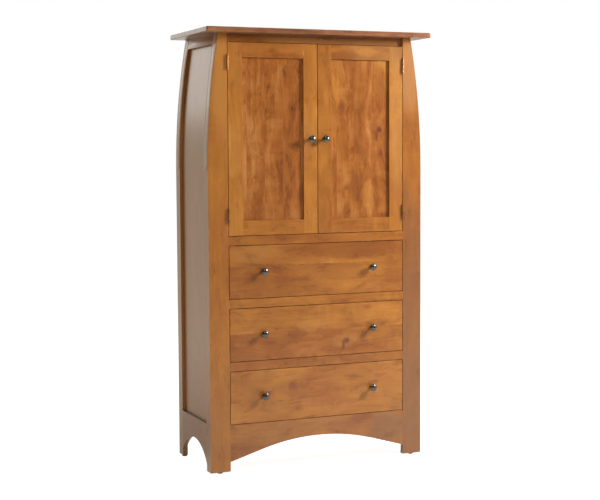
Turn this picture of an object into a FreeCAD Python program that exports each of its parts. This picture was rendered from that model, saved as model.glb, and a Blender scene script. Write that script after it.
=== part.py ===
"""Bow-sided armoire: two inset frame-and-panel doors over three full-width drawers.

Millimetres, +Z up, the front faces -Y, and the origin is on the floor under the middle of the top board.
The right half is drawn and mirrored to the left wherever the two halves are alike.
"""
import FreeCAD, Part
import math
import operator
import os
import Sketcher

SIZES = {
    # top board
    "top_thick": 22.0,
    "top_side_overhang": 20.0,
    "top_front_overhang": 60.0,
    "top_rear_overhang": 2.0,
    "top_edge_round": 7.0,
    "top_corner_round": 6.0,
    # case and its four posts
    "case_width": 1016.0,
    "post_depth": 53.0,
    "post_top_width": 38.5,
    "curve_inset": 52.0,
    "curve_length": 581.0,
    "rear_post_width": 33.0,
    "foot_thick": 23.0,
    "glide_height": 5.0,
    "glide_radius": 11.0,
    # front frame, from the floor up
    "leg_height": 207.5,
    "drawer_opening": 233.0,
    "divider_height": 39.0,
    "door_opening": 827.5,
    "top_rail_height": 35.0,
    "top_rail_recess": 12.0,
    "front_rail_thick": 22.0,
    "front_arch_spring": 47.0,
    "front_arch_rise": 83.0,
    "front_arch_bow": 38.0,
    "tenon_length": 25.0,
    "tenon_thick": 10.0,
    "tenon_shoulder": 5.0,
    # side frames
    "side_rail_thick": 18.0,
    "side_top_rail_height": 44.0,
    "side_bottom_rail_top": 213.0,
    "side_arch_spring": 35.0,
    "side_arch_rise": 86.0,
    "side_panel_recess": 12.0,
    "side_panel_thick": 6.0,
    "side_panel_tongue": 10.0,
    "side_tenon_length": 18.0,
    "side_tenon_thick": 8.0,
    # inside of the case
    "gable_thick": 13.0,
    "deck_thick": 18.0,
    "back_thick": 6.0,
    "back_lap": 8.0,
    "back_drop": 42.0,
    "cable_hole_radius": 30.0,
    "cable_hole_height": 90.0,
    "rear_rail_height": 60.0,
    "rear_rail_thick": 20.0,
    "shelf_thick": 18.0,
    "shelf_height": 410.0,
    "shelf_side_clearance": 1.0,
    "shelf_front_setback": 28.0,
    "shelf_rear_clearance": 2.0,
    "pin_radius": 3.0,
    "pin_seat": 9.0,
    "pin_reach": 12.0,
    "pin_row_spacing": 32.0,
    "pin_edge_distance": 45.0,
    "pin_clearance": 0.05,
    # doors
    "reveal": 2.5,
    "meeting_gap": 3.0,
    "door_thick": 21.0,
    "stile_width": 65.0,
    "door_rail_height": 63.0,
    "door_panel_recess": 8.0,
    "door_panel_thick": 6.0,
    "door_groove_depth": 10.0,
    "door_panel_play": 1.0,
    "door_knob_inset": 33.0,
    # hinges
    "hinge_height": 63.0,
    "hinge_end_distance": 85.0,
    "barrel_radius": 3.2,
    "barrel_stand_off": 3.7,
    "leaf_thick": 1.1,
    "leaf_width": 23.0,
    "knuckle_gap": 0.3,
    "hinge_pin_radius": 1.5,
    "hinge_pin_clearance": 0.05,
    "pin_tip_radius": 2.6,
    "pin_tip_height": 2.0,
    # magnetic catches
    "catch_width": 40.0,
    "catch_height": 18.0,
    "catch_flange_height": 20.0,
    "catch_flange_thick": 3.0,
    "catch_from_middle": 14.0,
    "catch_gap": 0.3,
    "catch_play": 2.0,
    "strike_thick": 1.0,
    "strike_width": 28.0,
    "strike_height": 14.0,
    # knobs
    "knob_reach": 28.0,
    "knob_radius": 16.0,
    "knob_base_radius": 9.0,
    "knob_base_thick": 2.5,
    "knob_neck_radius": 6.0,
    "knob_neck_end": 12.0,
    "knob_rim_start": 18.0,
    "knob_rim_thick": 3.0,
    "knob_flare_radius": 9.0,
    "drawer_knob_offset": 260.0,
    # drawers
    "drawer_front_thick": 21.0,
    "drawer_side_thick": 12.0,
    "drawer_box_depth": 370.0,
    "drawer_rear_room": 41.0,
    "drawer_bottom_room": 14.0,
    "drawer_top_room": 29.0,
    "drawer_bottom_thick": 6.0,
    "drawer_bottom_lift": 10.0,
    "drawer_groove_depth": 6.0,
    "tail_count": 5,
    "tail_length": 13.0,
    "tail_tip_width": 26.0,
    "tail_root_width": 20.0,
    # telescopic drawer slides
    "slide_space": 13.0,
    "slide_height": 45.0,
    "slide_wall": 1.3,
    "slide_clearance": 0.3,
    "slide_setback": 4.0,
    "slide_end_room": 6.0,
}

DRAWER_NAMES = ("lower", "middle", "upper")
PIN_ROWS = 5
KNUCKLES = 3

doc = FreeCAD.newDocument("Armoire")
sheet = doc.addObject("Spreadsheet::Sheet", "Sizes")
nodes = []


class Size:
    """A length that keeps its formula, so that whatever uses it stays tied to the sheet."""

    def __init__(self, value, formula):
        self.value = value
        self.formula = formula

    def __add__(self, other):
        return combine(self, operator.add, "+", other)

    def __radd__(self, other):
        return combine(other, operator.add, "+", self)

    def __sub__(self, other):
        return combine(self, operator.sub, "-", other)

    def __rsub__(self, other):
        return combine(other, operator.sub, "-", self)

    def __mul__(self, other):
        return combine(self, operator.mul, "*", other)

    def __rmul__(self, other):
        return combine(other, operator.mul, "*", self)

    def __truediv__(self, other):
        return combine(self, operator.truediv, "/", other)

    def __neg__(self):
        return combine(0, operator.sub, "-", self)


def as_size(item):
    if isinstance(item, Size):
        return item
    return Size(float(item), "(%r)" % float(item))


def combine(left, action, sign, right):
    left = as_size(left)
    right = as_size(right)
    return Size(action(left.value, right.value), "(%s %s %s)" % (left.formula, sign, right.formula))


def root(size):
    return Size(math.sqrt(size.value), "sqrt(%s)" % size.formula)


def fill_sheet():
    """One row for each driving dimension: its words in column A, its value in column B."""
    sizes = {}
    for row, (alias, value) in enumerate(SIZES.items(), start=1):
        sheet.set("A%d" % row, alias.replace("_", " "))
        sheet.set("B%d" % row, str(value))
        sheet.setAlias("B%d" % row, alias)
        sizes[alias] = Size(float(value), "Sizes." + alias)
    doc.recompute()
    return sizes


class Dimensions:
    """The driving dimensions by name, and the levels and faces that follow from them."""

    def __init__(self, sizes):
        self.__dict__.update(sizes)
        self.case_half = self.case_width / 2
        self.drawer_depth = self.drawer_front_thick + self.drawer_box_depth
        self.case_depth = self.drawer_depth + self.drawer_rear_room + self.back_thick
        self.slide_length = self.drawer_box_depth - self.slide_setback - self.slide_end_room
        self.top_width = self.case_width + 2 * self.top_side_overhang
        self.top_depth = self.top_front_overhang + self.case_depth + self.top_rear_overhang
        self.opening_half = self.case_half - self.curve_inset - self.post_top_width
        self.front = self.top_front_overhang - self.top_depth / 2
        self.rear = self.front + self.case_depth
        self.post_back = self.front + self.post_depth
        self.rear_post_front = self.rear - self.post_depth
        self.level_step = self.drawer_opening + self.divider_height
        self.deck_top = self.leg_height + len(DRAWER_NAMES) * self.level_step
        self.door_head = self.deck_top + self.door_opening
        self.post_top = self.door_head + self.top_rail_height
        self.curve_start = self.post_top - self.curve_length
        self.gable_outer = self.opening_half + self.gable_thick
        self.back_face = self.rear - self.back_thick
        self.rail_back = self.front + self.front_rail_thick
        self.top_rail_back = self.rail_back + self.top_rail_recess
        self.floor_bottom = self.leg_height - self.deck_thick
        self.door_bottom = self.deck_top + self.reveal
        self.door_top = self.door_head - self.reveal
        self.door_outer = self.opening_half - self.reveal
        self.door_inner = self.meeting_gap / 2
        self.door_back = self.front + self.door_thick
        self.hinge_x = self.opening_half - self.reveal / 2
        self.hinge_y = self.front - self.barrel_stand_off
        self.curve_radius = tangent_radius(self.curve_length, self.curve_inset)
        self.rear_lean = self.case_half - self.rear_post_width - self.gable_outer
        self.rear_inner_radius = tangent_radius(self.curve_length, self.rear_lean)


def tangent_radius(rise, inset):
    """Radius of an arc that starts upright and comes in by the inset over the rise."""
    return (rise * rise + inset * inset) / (2 * inset)


def tie(item, name, size):
    item.setExpression(name, as_size(size).formula)


def place(item, x, y, z):
    tie(item, "Placement.Base.x", x)
    tie(item, "Placement.Base.y", y)
    tie(item, "Placement.Base.z", z)


def node(item):
    nodes.append(item)
    return item


def board(label, corner, extent):
    """A square-edged board from its lowest corner and its three extents."""
    box = doc.addObject("Part::Box", label)
    for name, size in zip(("Length", "Width", "Height"), extent):
        tie(box, name, size)
    place(box, *corner)
    return box


def rod(label, centre, radius, height):
    """An upright round bar from the middle of its lower end."""
    cylinder = doc.addObject("Part::Cylinder", label)
    tie(cylinder, "Radius", radius)
    tie(cylinder, "Height", height)
    place(cylinder, *centre)
    return cylinder


def cut(label, base, tools):
    """The base with each tool taken out of it in turn."""
    for count, tool in enumerate(tools, start=1):
        last = count == len(tools)
        result = doc.addObject("Part::Cut", label if last else "%s_cut_%d" % (label, count))
        result.Base = base
        result.Tool = tool
        base = result
    return base


def fuse(label, pieces):
    base = pieces[0]
    for count, piece in enumerate(pieces[1:], start=1):
        last = count == len(pieces) - 1
        result = doc.addObject("Part::Fuse", label if last else "%s_join_%d" % (label, count))
        result.Base = base
        result.Tool = piece
        base = result
    return base


def mirror(label, source):
    """The same piece on the other side of the middle plane."""
    copy = doc.addObject("Part::Mirroring", label)
    copy.Source = source
    copy.Base = FreeCAD.Vector(0, 0, 0)
    copy.Normal = FreeCAD.Vector(1, 0, 0)
    return copy


def group(label, pieces):
    """Separate pieces that share one name."""
    compound = doc.addObject("Part::Compound", label)
    compound.Links = pieces
    return compound


def pair(label, piece):
    return group(label, [piece, mirror(label + "_left", piece)])


def add_stretch(sketch, start, end, radius, bulge):
    """Draws one side of an outline and says which end of it is its start and which its end."""
    p = FreeCAD.Vector(start[0].value, start[1].value, 0)
    q = FreeCAD.Vector(end[0].value, end[1].value, 0)
    if radius is None:
        index = sketch.addGeometry(Part.LineSegment(p, q), False)
        return index, 1, 2
    chord = q - p
    across = FreeCAD.Vector(-chord.y, chord.x, 0).normalize()
    reach = math.sqrt(radius.value ** 2 - (chord.Length / 2) ** 2)
    centre = (p + q) * 0.5 - across * (bulge * reach)
    first, last = (q, p) if bulge > 0 else (p, q)
    begin = math.atan2(first.y - centre.y, first.x - centre.x)
    finish = math.atan2(last.y - centre.y, last.x - centre.x)
    if finish < begin:
        finish += 2 * math.pi
    circle = Part.Circle(centre, FreeCAD.Vector(0, 0, 1), radius.value)
    index = sketch.addGeometry(Part.ArcOfCircle(circle, begin, finish), False)
    tie_constraint(sketch, Sketcher.Constraint("Radius", index, radius.value), radius)
    return (index, 2, 1) if bulge > 0 else (index, 1, 2)


def tie_constraint(sketch, constraint, size):
    number = sketch.addConstraint(constraint)
    tie(sketch, "Constraints[%d]" % number, size)


def draw(sketch, corners):
    """Closes a loop through the corners.

    A corner is (x, y), or (x, y, radius, bulge) where the side that leaves it is an arc: a bulge of 1 swells
    to the left of the way round, and -1 to the right.
    """
    corners = [tuple(as_size(item) for item in corner[:2]) + tuple(corner[2:]) for corner in corners]
    stretches = []
    for count, corner in enumerate(corners):
        radius, bulge = corner[2:] if len(corner) == 4 else (None, 0)
        following = corners[(count + 1) % len(corners)]
        stretches.append(add_stretch(sketch, corner, following, radius, bulge))
    for count, (index, start, end) in enumerate(stretches):
        x, y = corners[count][:2]
        tie_constraint(sketch, Sketcher.Constraint("DistanceX", -1, 1, index, start, x.value), x)
        tie_constraint(sketch, Sketcher.Constraint("DistanceY", -1, 1, index, start, y.value), y)
        after, after_start, _ = stretches[(count + 1) % len(stretches)]
        sketch.addConstraint(Sketcher.Constraint("Coincident", index, end, after, after_start))


def new_sketch(body, plane, name):
    sketch = body.newObject("Sketcher::SketchObject", name)
    for feature in body.Origin.OriginFeatures:
        if feature.Role == plane:
            sketch.AttachmentSupport = [(feature, "")]
    sketch.MapMode = "FlatFace"
    return sketch


def add_pad(body, sketch, name, length):
    """Pads a sketch towards +X, +Y or +Z, whichever its plane faces."""
    pad = body.newObject("PartDesign::Pad", name)
    pad.Profile = sketch
    pad.Reversed = sketch.AttachmentSupport[0][0].Role == "XZ_Plane"
    tie(pad, "Length", length)
    return pad


def prism(label, plane, corners, start, length):
    """A piece with a drawn outline in one plane, from the start and as long as given along the third axis."""
    body = doc.addObject("PartDesign::Body", label)
    sketch = new_sketch(body, plane, label + "_outline")
    draw(sketch, corners)
    add_pad(body, sketch, label + "_pad", length)
    axis = {"XY_Plane": "z", "XZ_Plane": "y", "YZ_Plane": "x"}[plane]
    tie(body, "Placement.Base." + axis, start)
    return body


def pattern_upwards(body, sketch, feature, name, length, count):
    """Repeats a feature up the sketch's own upright axis."""
    doc.recompute()
    pattern = body.newObject("PartDesign::LinearPattern", name)
    pattern.Originals = [feature]
    pattern.Direction = (sketch, ["V_Axis"])
    tie(pattern, "Length", length)
    if isinstance(count, Size):
        tie(pattern, "Occurrences", count)
    else:
        pattern.Occurrences = count
    body.Tip = pattern
    return pattern


def outer_edge(d, height, inset=0):
    """How far out the bowed side lies at a height in its curved stretch, less an inset square to it."""
    rise = height - d.curve_start
    radius = d.curve_radius - inset
    return d.case_half - d.curve_radius + root(radius * radius - rise * rise)


def build_top(d):
    """Overhanging board with eased corners and a rounded upper edge."""
    x = d.top_width / 2
    y = d.top_depth / 2
    r = d.top_corner_round
    corners = [
        (-x + r, -y),
        (x - r, -y, r, -1),
        (x, -y + r),
        (x, y - r, r, -1),
        (x - r, y),
        (-x + r, y, r, -1),
        (-x, y - r),
        (-x, -y + r, r, -1),
    ]
    body = prism("top_board", "XY_Plane", corners, d.post_top, d.top_thick)
    doc.recompute()
    pad = body.Tip
    upper = pad.Shape.BoundBox.ZMax
    rim = []
    for number, edge in enumerate(pad.Shape.Edges, start=1):
        if all(abs(vertex.Z - upper) < Part.Precision.confusion() for vertex in edge.Vertexes):
            rim.append("Edge%d" % number)
    fillet = body.newObject("PartDesign::Fillet", "top_board_edge")
    fillet.Base = (pad, rim)
    tie(fillet, "Radius", d.top_edge_round)
    node(body)


def build_side_panel(d):
    """Thin panel that follows the bow, set back from the faces of the posts and let into them."""
    low = d.side_bottom_rail_top - d.side_panel_tongue
    high = d.post_top - d.side_top_rail_height + d.side_panel_tongue
    near = d.side_panel_recess
    far = near + d.side_panel_thick
    corners = [
        (d.case_half - near, low),
        (d.case_half - near, d.curve_start, d.curve_radius - near, -1),
        (outer_edge(d, high, near), high),
        (outer_edge(d, high, far), high, d.curve_radius - far, 1),
        (d.case_half - far, d.curve_start),
        (d.case_half - far, low),
    ]
    start = d.post_back - d.side_panel_tongue
    length = d.rear_post_front - d.post_back + 2 * d.side_panel_tongue
    return prism("side_panel_right", "XZ_Plane", corners, start, length)


def build_side_top_rail(d, panel):
    """Rail sawn to the same bow, flush with the posts, with the panel housed in its lower edge."""
    low = d.post_top - d.side_top_rail_height
    corners = [
        (outer_edge(d, low), low, d.curve_radius, -1),
        (outer_edge(d, d.post_top), d.post_top),
        (outer_edge(d, d.post_top, d.side_rail_thick), d.post_top, d.curve_radius - d.side_rail_thick, 1),
        (outer_edge(d, low, d.side_rail_thick), low),
    ]
    span = d.rear_post_front - d.post_back
    rail = prism("side_top_rail_blank", "XZ_Plane", corners, d.post_back, span)
    tenon = board(
        "side_top_rail_tenon",
        (
            outer_edge(d, d.post_top) - (d.side_rail_thick + d.side_tenon_thick) / 2,
            d.post_back - d.side_tenon_length,
            low + d.side_panel_tongue + d.tenon_shoulder,
        ),
        (
            d.side_tenon_thick,
            span + 2 * d.side_tenon_length,
            d.side_top_rail_height - d.side_panel_tongue - 2 * d.tenon_shoulder,
        ),
    )
    return cut("side_top_rail_right", fuse("side_top_rail_joined", [rail, tenon]), [panel])


def build_side_bottom_rail(d, panel):
    """Flush rail with an arched lower edge between the front and rear feet."""
    half = (d.rear_post_front - d.post_back) / 2
    radius = (half * half + d.side_arch_rise * d.side_arch_rise) / (2 * d.side_arch_rise)
    corners = [
        (d.post_back, d.side_arch_spring, radius, 1),
        (d.rear_post_front, d.side_arch_spring),
        (d.rear_post_front, d.side_bottom_rail_top),
        (d.post_back, d.side_bottom_rail_top),
    ]
    inner = d.case_half - d.side_rail_thick
    rail = prism("side_bottom_rail_blank", "YZ_Plane", corners, inner, d.side_rail_thick)
    tenon_low = d.side_arch_spring + d.side_arch_rise + d.tenon_shoulder
    tenon = board(
        "side_bottom_rail_tenon",
        (inner + (d.side_rail_thick - d.side_tenon_thick) / 2, d.post_back - d.side_tenon_length, tenon_low),
        (
            d.side_tenon_thick,
            2 * half + 2 * d.side_tenon_length,
            d.side_bottom_rail_top - d.side_panel_tongue - d.tenon_shoulder - tenon_low,
        ),
    )
    return cut("side_bottom_rail_right", fuse("side_bottom_rail_joined", [rail, tenon]), [panel])


def build_front_rail(d, label, low, height, face):
    """Straight rail between the front posts, with a tenon into each."""
    rail = board(
        label + "_blank",
        (-d.opening_half, face, low),
        (2 * d.opening_half, d.front_rail_thick, height),
    )
    tenon = build_front_tenon(d, label, low + d.tenon_shoulder, height - 2 * d.tenon_shoulder, face)
    return fuse(label, [rail, tenon])


def build_front_tenon(d, label, low, height, face):
    return board(
        label + "_tenon",
        (-d.opening_half - d.tenon_length, face + (d.front_rail_thick - d.tenon_thick) / 2, low),
        (2 * (d.opening_half + d.tenon_length), d.tenon_thick, height),
    )


def build_arched_rail(d):
    """Bottom rail with a long shallow arch: a bow, and straight tangents from it down to the feet."""
    half = d.opening_half
    rise = d.front_arch_rise
    bow = d.front_arch_bow
    haunch = bow * (half + root(half * half + rise * rise - bow * bow)) / (rise + bow)
    haunch_height = d.front_arch_spring + rise - bow
    radius = (haunch * haunch + bow * bow) / (2 * bow)
    corners = [
        (-half, d.front_arch_spring),
        (-haunch, haunch_height, radius, 1),
        (haunch, haunch_height),
        (half, d.front_arch_spring),
        (half, d.leg_height),
        (-half, d.leg_height),
    ]
    rail = prism("front_arched_rail_blank", "XZ_Plane", corners, d.front, d.front_rail_thick)
    tenon_low = d.front_arch_spring + rise + d.tenon_shoulder
    tenon_height = d.leg_height - d.tenon_shoulder - tenon_low
    tenon = build_front_tenon(d, "front_arched_rail", tenon_low, tenon_height, d.front)
    return fuse("front_arched_rail", [rail, tenon])


def build_back(d):
    """Sheet let into the rear edges of the rear posts, with a round pass-through for leads."""
    low = d.floor_bottom - d.back_drop
    edge = d.case_half - d.rear_post_width + d.back_lap
    radius = d.rear_inner_radius + d.back_lap
    centre = d.case_half - d.rear_post_width - d.rear_inner_radius
    top_edge = centre + root(radius * radius - d.curve_length * d.curve_length)
    corners = [
        (-edge, low),
        (edge, low),
        (edge, d.curve_start, radius, -1),
        (top_edge, d.post_top),
        (-top_edge, d.post_top, radius, -1),
        (-edge, d.curve_start),
    ]
    sheet_back = prism("back_panel_blank", "XZ_Plane", corners, d.back_face, d.back_thick)
    hole_centre = (0, d.rear, d.deck_top + d.cable_hole_height)
    hole = rod("back_panel_hole", hole_centre, d.cable_hole_radius, d.back_thick)
    hole.Placement.Rotation = FreeCAD.Rotation(FreeCAD.Vector(1, 0, 0), 90)
    return node(cut("back_panel", sheet_back, [hole]))


def build_posts(d, right_rails, front_rails, back):
    """Four posts whose outer edges rise straight and then curve in; each is mortised for what it holds.

    Under the floor of the case each is sawn out behind, which leaves a foot with an angle section.
    """
    low = d.glide_height
    foot_height = d.floor_bottom - low
    foot_inner = d.case_half - d.foot_thick
    notch_depth = d.post_depth - d.foot_thick
    front_corners = [
        (d.opening_half, low),
        (d.case_half, low),
        (d.case_half, d.curve_start, d.curve_radius, -1),
        (outer_edge(d, d.post_top), d.post_top),
        (d.opening_half, d.post_top),
    ]
    rear_inner = d.case_half - d.rear_post_width
    rear_corners = [
        (rear_inner, low),
        (d.case_half, low),
        (d.case_half, d.curve_start, d.curve_radius, -1),
        (outer_edge(d, d.post_top), d.post_top),
        (d.gable_outer, d.post_top, d.rear_inner_radius, 1),
        (rear_inner, d.curve_start),
    ]
    front_blank = prism("post_front_blank", "XZ_Plane", front_corners, d.front, d.post_depth)
    rear_blank = prism("post_rear_blank", "XZ_Plane", rear_corners, d.rear_post_front, d.post_depth)
    front_notch = board(
        "post_front_notch",
        (d.opening_half, d.front + d.foot_thick, low),
        (foot_inner - d.opening_half, notch_depth, foot_height),
    )
    rear_notch = board(
        "post_rear_notch",
        (rear_inner, d.rear_post_front, low),
        (foot_inner - rear_inner, notch_depth, foot_height),
    )
    front = node(cut("post_front_right", front_blank, [front_notch] + right_rails + front_rails))
    rear = node(cut("post_rear_right", rear_blank, [rear_notch] + right_rails + [back]))
    node(mirror("post_front_left", front))
    node(mirror("post_rear_left", rear))


def build_gables(d):
    """Upright inner walls that line up with the front posts and carry the slides and the shelf pins."""
    corners = [
        (d.post_back, d.floor_bottom),
        (d.back_face, d.floor_bottom),
        (d.back_face, d.post_top),
        (d.post_back, d.post_top),
    ]
    body = prism("inner_gable_right", "YZ_Plane", corners, d.opening_half, d.gable_thick)
    sketch = new_sketch(body, "YZ_Plane", "shelf_pin_holes")
    half_rows = (PIN_ROWS - 1) / 2
    height = shelf_pin_height(d) - half_rows * d.pin_row_spacing
    radius = d.pin_radius + d.pin_clearance
    for y in shelf_pin_depths(d):
        centre = FreeCAD.Vector(y.value, height.value, 0)
        index = sketch.addGeometry(Part.Circle(centre, FreeCAD.Vector(0, 0, 1), radius.value), False)
        tie_constraint(sketch, Sketcher.Constraint("DistanceX", -1, 1, index, 3, y.value), y)
        tie_constraint(sketch, Sketcher.Constraint("DistanceY", -1, 1, index, 3, height.value), height)
        tie_constraint(sketch, Sketcher.Constraint("Radius", index, radius.value), radius)
    doc.recompute()
    pocket = body.newObject("PartDesign::Pocket", "shelf_pin_pocket")
    pocket.Profile = sketch
    pocket.Reversed = True
    tie(pocket, "Length", d.pin_seat)
    pattern_upwards(body, sketch, pocket, "shelf_pin_rows", (PIN_ROWS - 1) * d.pin_row_spacing, PIN_ROWS)
    node(pair("inner_gables", body))


def shelf_pin_height(d):
    return d.deck_top + d.shelf_height - d.pin_radius


def shelf_pin_depths(d):
    return [d.post_back + d.pin_edge_distance, d.back_face - d.pin_edge_distance]


def build_inside(d):
    """Floor, deck, shelf on its pins and the two rails across the back."""
    depth = d.back_face - d.rail_back
    width = 2 * d.opening_half
    node(board("case_bottom", (-d.opening_half, d.rail_back, d.floor_bottom), (width, depth, d.deck_thick)))
    deck_low = d.deck_top - d.deck_thick
    node(board("cabinet_deck", (-d.opening_half, d.rail_back, deck_low), (width, depth, d.deck_thick)))
    shelf_front = d.rail_back + d.shelf_front_setback
    shelf_half = d.opening_half - d.shelf_side_clearance
    shelf = board(
        "adjustable_shelf",
        (-shelf_half, shelf_front, d.deck_top + d.shelf_height),
        (2 * shelf_half, d.back_face - d.shelf_rear_clearance - shelf_front, d.shelf_thick),
    )
    node(shelf)
    pins = []
    for count, y in enumerate(shelf_pin_depths(d), start=1):
        start = d.opening_half - d.pin_reach
        pin_end = (start, y, shelf_pin_height(d))
        pin = rod("shelf_pin_%d" % count, pin_end, d.pin_radius, d.pin_reach + d.pin_seat)
        pin.Placement.Rotation = FreeCAD.Rotation(FreeCAD.Vector(0, 1, 0), 90)
        pins += [pin, mirror("shelf_pin_%d_left" % count, pin)]
    node(group("shelf_pins", pins))
    rail_y = d.back_face - d.rear_rail_thick
    upper = board(
        "rear_top_rail",
        (-d.opening_half, rail_y, d.post_top - d.rear_rail_height),
        (width, d.rear_rail_thick, d.rear_rail_height),
    )
    foot_inner = d.case_half - d.rear_post_width
    lower = board(
        "rear_bottom_rail",
        (-foot_inner, rail_y, d.floor_bottom - d.back_drop),
        (2 * foot_inner, d.rear_rail_thick, d.back_drop),
    )
    node(group("rear_rails", [upper, lower]))


def build_glides(d):
    """Flat round glide under each foot: under the front edge of a front foot, the side edge of a rear one."""
    glides = []
    for label, x, y in (
        ("front", (d.case_half + d.opening_half) / 2, d.front + d.foot_thick / 2),
        ("rear", d.case_half - d.foot_thick / 2, d.rear_post_front + d.foot_thick / 2),
    ):
        glide = rod("floor_glide_" + label, (x, y, 0), d.glide_radius, d.glide_height)
        glides += [glide, mirror("floor_glide_%s_left" % label, glide)]
    node(group("floor_glides", glides))


def build_knob(d, label, x, z):
    """Turned mushroom knob that stands out from the front."""
    body = doc.addObject("PartDesign::Body", label)
    sketch = new_sketch(body, "YZ_Plane", label + "_profile")
    rim_end = d.knob_rim_start + d.knob_rim_thick
    dome = d.knob_reach - rim_end
    dome_radius = (d.knob_radius * d.knob_radius + dome * dome) / (2 * dome)
    corners = [
        (0, 0),
        (-d.knob_reach, 0, dome_radius, 1),
        (-rim_end, d.knob_radius, d.knob_rim_thick, 1),
        (-d.knob_rim_start, d.knob_radius, d.knob_flare_radius, -1),
        (-d.knob_neck_end, d.knob_neck_radius),
        (-2 * d.knob_base_thick, d.knob_neck_radius),
        (-d.knob_base_thick, d.knob_base_radius),
        (0, d.knob_base_radius),
    ]
    draw(sketch, corners)
    turned = body.newObject("PartDesign::Revolution", label + "_turned")
    turned.Profile = sketch
    turned.ReferenceAxis = (sketch, ["H_Axis"])
    turned.Angle = 360
    place(body, x, d.front, z)
    return body


def build_hinge_leaf(d, label, low, face, knuckles, bore_radius):
    """Flat leaf in the gap beside the door, rolled into knuckles round the pin."""
    leaf_x = face - d.leaf_thick
    plate_front = d.hinge_y + d.barrel_radius + d.knuckle_gap
    plate_back = d.front + d.leaf_width
    pieces = [
        board(
            label + "_plate",
            (leaf_x, plate_front, low),
            (d.leaf_thick, plate_back - plate_front, d.hinge_height),
        )
    ]
    bores = []
    for count, (start, height) in enumerate(knuckles, start=1):
        centre = (d.hinge_x, d.hinge_y, low + start)
        name = "%s_knuckle_%d" % (label, count)
        strap_size = (d.leaf_thick, plate_front - d.hinge_y, height)
        pieces.append(board(name + "_strap", (leaf_x, d.hinge_y, low + start), strap_size))
        pieces.append(rod(name, centre, d.barrel_radius, height))
        bores.append(rod(name + "_bore", centre, bore_radius, height))
    return cut(label, fuse(label + "_joined", pieces), bores)


def build_hinges(d):
    """Two butt hinges a side: the post's leaves hold the pin, and the door's leaf turns on it."""
    knuckle = d.hinge_height / KNUCKLES
    inner_height = knuckle - 2 * d.knuckle_gap
    lows = (
        d.door_bottom + d.hinge_end_distance - d.hinge_height / 2,
        d.door_top - d.hinge_end_distance - d.hinge_height / 2,
    )
    post_leaves = []
    pins = []
    door_leaves = []
    for place_name, low in zip(("lower", "upper"), lows):
        outer = [(as_size(0), knuckle), (d.hinge_height - knuckle, knuckle)]
        inner = [(knuckle + d.knuckle_gap, inner_height)]
        leaf_label = "hinge_post_leaf_" + place_name
        leaf = build_hinge_leaf(d, leaf_label, low, d.opening_half, outer, d.hinge_pin_radius)
        door_label = "hinge_door_leaf_" + place_name
        door_face = d.door_outer + d.leaf_thick
        running_radius = d.hinge_pin_radius + d.hinge_pin_clearance
        door_leaf = build_hinge_leaf(d, door_label, low, door_face, inner, running_radius)
        pin_label = "hinge_pin_" + place_name
        shank = rod(pin_label + "_shank", (d.hinge_x, d.hinge_y, low), d.hinge_pin_radius, d.hinge_height)
        tips = []
        for tip_name, height in (("low", low - d.pin_tip_height), ("high", low + d.hinge_height)):
            tip_label = "%s_%s_tip" % (pin_label, tip_name)
            tip_place = (d.hinge_x, d.hinge_y, height)
            tips.append(rod(tip_label, tip_place, d.pin_tip_radius, d.pin_tip_height))
        pin = fuse(pin_label, [shank] + tips)
        post_leaves += [leaf, mirror(leaf_label + "_left", leaf)]
        pins += [pin, mirror(pin_label + "_left", pin)]
        door_leaves.append(door_leaf)
    node(group("hinge_post_leaves", post_leaves))
    node(group("hinge_pins", pins))
    return door_leaves


def build_doors(d, door_leaves):
    """Grooved stiles, rails with stub tenons and a flat panel: the right door, and its mirror image."""
    height = d.door_top - d.door_bottom
    groove_y = d.front + d.door_panel_recess
    left_edge = d.door_inner + d.stile_width
    right_edge = d.door_outer - d.stile_width
    groove_left = left_edge - d.door_groove_depth
    groove_right = right_edge + d.door_groove_depth
    span = right_edge - left_edge
    groove = board(
        "door_groove",
        (groove_left, groove_y, d.door_bottom),
        (groove_right - groove_left, d.door_panel_thick, height),
    )
    stiles = {}
    for name, x in (("hinge_stile", right_edge), ("meeting_stile", d.door_inner)):
        blank = board(
            "door_%s_blank" % name,
            (x, d.front, d.door_bottom),
            (d.stile_width, d.door_thick, height),
        )
        stiles[name] = cut("right_door_" + name, blank, [groove])
    panel_inset = d.door_rail_height - d.door_groove_depth + d.door_panel_play
    panel = board(
        "right_door_panel",
        (groove_left + d.door_panel_play, groove_y, d.door_bottom + panel_inset),
        (
            groove_right - groove_left - 2 * d.door_panel_play,
            d.door_panel_thick,
            height - 2 * panel_inset,
        ),
    )
    rail_groove = board(
        "door_rail_groove",
        (groove_left, groove_y, d.door_bottom + d.door_rail_height - d.door_groove_depth),
        (
            groove_right - groove_left,
            d.door_panel_thick,
            height - 2 * d.door_rail_height + 2 * d.door_groove_depth,
        ),
    )
    rails = []
    for name, low in (("bottom", d.door_bottom), ("top", d.door_top - d.door_rail_height)):
        blank = board(
            "door_%s_rail_blank" % name,
            (left_edge, d.front, low),
            (span, d.door_thick, d.door_rail_height),
        )
        tenon = board(
            "door_%s_rail_tenon" % name,
            (groove_left, groove_y, low),
            (groove_right - groove_left, d.door_panel_thick, d.door_rail_height),
        )
        joined = fuse("door_%s_rail_joined" % name, [blank, tenon])
        rails.append(cut("door_%s_rail" % name, joined, [rail_groove]))
    strike = board(
        "right_door_catch_plate",
        (
            d.catch_from_middle + (d.catch_width - d.strike_width) / 2,
            d.door_back,
            d.door_top - d.catch_play - d.strike_height,
        ),
        (d.strike_width, d.strike_thick, d.strike_height),
    )
    pieces = {
        "hinge_stile": stiles["hinge_stile"],
        "meeting_stile": stiles["meeting_stile"],
        "rails": group("right_door_rails", rails),
        "panel": panel,
        "knob": build_knob(d, "right_door_knob", d.door_knob_inset, d.door_bottom + height / 2),
        "hinge_leaves": group("right_door_hinge_leaves", door_leaves),
        "catch_plate": strike,
    }
    for name, piece in pieces.items():
        node(piece)
        node(mirror("left_door_" + name, piece))


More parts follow.
